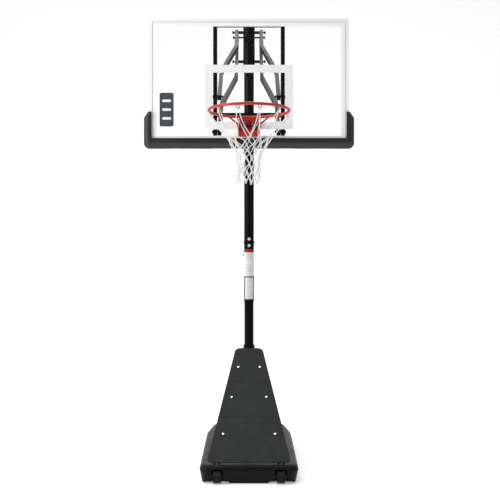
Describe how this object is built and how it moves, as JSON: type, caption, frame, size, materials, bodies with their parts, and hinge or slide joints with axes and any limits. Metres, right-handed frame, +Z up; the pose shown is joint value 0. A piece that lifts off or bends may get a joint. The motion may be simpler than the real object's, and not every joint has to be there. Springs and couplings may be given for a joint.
{
  "type": "portable basketball hoop",
  "caption": "Rolling water-base basketball hoop with a clear board, sprung rim, net and crank-adjusted parallel arms.",
  "frame": {"origin": "on the floor, under the pole's axis, on the tank's flat underside", "axes": "+Z up along the pole, -Y towards the court (board and rim overhang that way), +X to the right of a player who faces the board"},
  "size_m": [1.342, 1.9885, 3.2241],
  "materials": {
    "tank": "satin, finely grained",
    "cap": "satin",
    "wheel": "satin",
    "powder_black": "semi-gloss powder coat",
    "zinc": "bright zinc plate",
    "black_hardware": "black zinc",
    "cover": "fine grain",
    "red_band": "gloss",
    "label": "satin film",
    "clear_sheet": "clear acrylic",
    "edge_rail": "satin anodised",
    "print": "screen print",
    "pad": "matte moulded foam skin",
    "rim_red": "gloss powder coat",
    "spring_steel": "satin",
    "net_cord": "braided nylon",
    "knob": "satin"
  },
  "bodies": {
    "base": {"base_tank": "tank", "wheel_axles": "black_hardware", "pole_foot_plate": "powder_black", "pole_foot_bolts": "zinc", "lower_pole": "powder_black", "upper_pole": "powder_black", "pole_cap": "cap", "pole_bolts": "zinc", "height_band": "red_band", "label_sleeve": "label", "strut_left": "powder_black", "strut_right": "powder_black", "strut_collar": "powder_black", "strut_head_bolt": "black_hardware", "strut_foot_bolts": "zinc", "cover_panel": "cover", "cover_screws": "zinc", "head_sleeve": "powder_black", "pole_pivot_rods": "black_hardware", "pivot_spacers": "black_hardware", "jack_bracket": "powder_black", "jack_pin": "black_hardware"},
    "filler_cap": {"filler_cap": "cap"},
    "wheel_left": {"wheel_left": "wheel"},
    "wheel_right": {"wheel_right": "wheel"},
    "lower_arms": {"lower_arm_left": "powder_black", "lower_arm_right": "powder_black", "tail_rod": "black_hardware"},
    "upper_arms": {"upper_arm_left": "powder_black", "upper_arm_right": "powder_black"},
    "board": {"board_sheet": "clear_sheet", "board_rail_top": "edge_rail", "board_rail_bottom": "edge_rail", "board_rail_left": "edge_rail", "board_rail_right": "edge_rail", "border_print": "print", "target_print": "print", "frame_upright_left": "powder_black", "frame_upright_right": "powder_black", "frame_crossbar_top": "powder_black", "frame_crossbar_middle": "powder_black", "frame_crossbar_lower": "powder_black", "board_pivot_bolts": "black_hardware", "edge_pad": "pad", "rim_bracket": "rim_red", "rim_mount_bolts": "black_hardware", "rim_hinge_pin": "black_hardware", "rim_springs": "spring_steel", "rim_spring_posts": "spring_steel"},
    "rim": {"rim_ring": "rim_red", "rim_yoke": "rim_red", "rim_braces": "rim_red", "net_hooks": "rim_red", "net": "net_cord"},
    "jack": {"jack_housing": "powder_black", "jack_tube": "powder_black", "jack_screw": "zinc"},
    "jack_rod": {"jack_rod": "zinc"},
    "crank": {"crank": "powder_black"},
    "crank_knob": {"crank_knob": "knob"}
  },
  "joints": [
    {"name": "height_lift", "type": "hinge", "parent": "base", "child": "lower_arms", "pos_m": [0, 0, 2.932], "axis": [-1, 0, 0], "range_deg": [0, 36.9]},
    {"name": "upper_arm_pivot", "type": "hinge", "parent": "base", "child": "upper_arms", "pos_m": [0, 0, 3.158], "axis": [-1, 0, 0], "range_deg": [0, 36.9]},
    {"name": "board_level", "type": "hinge", "parent": "lower_arms", "child": "board", "pos_m": [0, -1.017, 2.238], "axis": [-1, 0, 0], "range_deg": [-36.9, 0]},
    {"name": "rim_breakaway", "type": "hinge", "parent": "board", "child": "rim", "pos_m": [0, -1.102, 2.262], "axis": [1, 0, 0], "range_deg": [0, 20], "stiffness_Nm_per_rad": 400, "springref_deg": -14.32, "deforming": ["rim_springs"]},
    {"name": "jack_tilt", "type": "hinge", "parent": "base", "child": "jack", "pos_m": [0, 0.075, 1.53], "axis": [-1, 0, 0], "range_deg": [0, 5.14]},
    {"name": "jack_travel", "type": "slide", "parent": "jack", "child": "jack_rod", "axis": [0, -0.1108, -0.9938], "range_m": [0, 0.1833]},
    {"name": "crank_turn", "type": "hinge", "parent": "jack", "child": "crank", "pos_m": [0, 0.0781, 1.55783], "axis": [0, 0.9938, -0.1108], "range_deg": [0, 5696]},
    {"name": "knob_spin", "type": "hinge", "parent": "crank", "child": "crank_knob", "pos_m": [-0.03158, 0.15449, 1.43074], "axis": [0, 0.9938, -0.1108], "continuous": true},
    {"name": "wheel_left_spin", "type": "hinge", "parent": "base", "child": "wheel_left", "pos_m": [-0.202, -1.1, 0.043], "axis": [1, 0, 0], "continuous": true},
    {"name": "wheel_right_spin", "type": "hinge", "parent": "base", "child": "wheel_right", "pos_m": [0.202, -1.1, 0.043], "axis": [1, 0, 0], "continuous": true},
    {"name": "filler_cap_turn", "type": "hinge", "parent": "base", "child": "filler_cap", "pos_m": [-0.19, -0.07, 0.116], "axis": [0, 0, 1], "continuous": true}
  ],
  "couplings": [
    {"joint": "upper_arm_pivot", "follows": "height_lift", "ratio": 1},
    {"joint": "board_level", "follows": "height_lift", "ratio": -1},
    {"joint": "jack_tilt", "follows": "height_lift", "ratio": 0.1388},
    {"joint": "jack_travel", "follows": "height_lift", "m_per_rad": 0.2843},
    {"joint": "crank_turn", "follows": "height_lift", "ratio": 154.3}
  ]
}
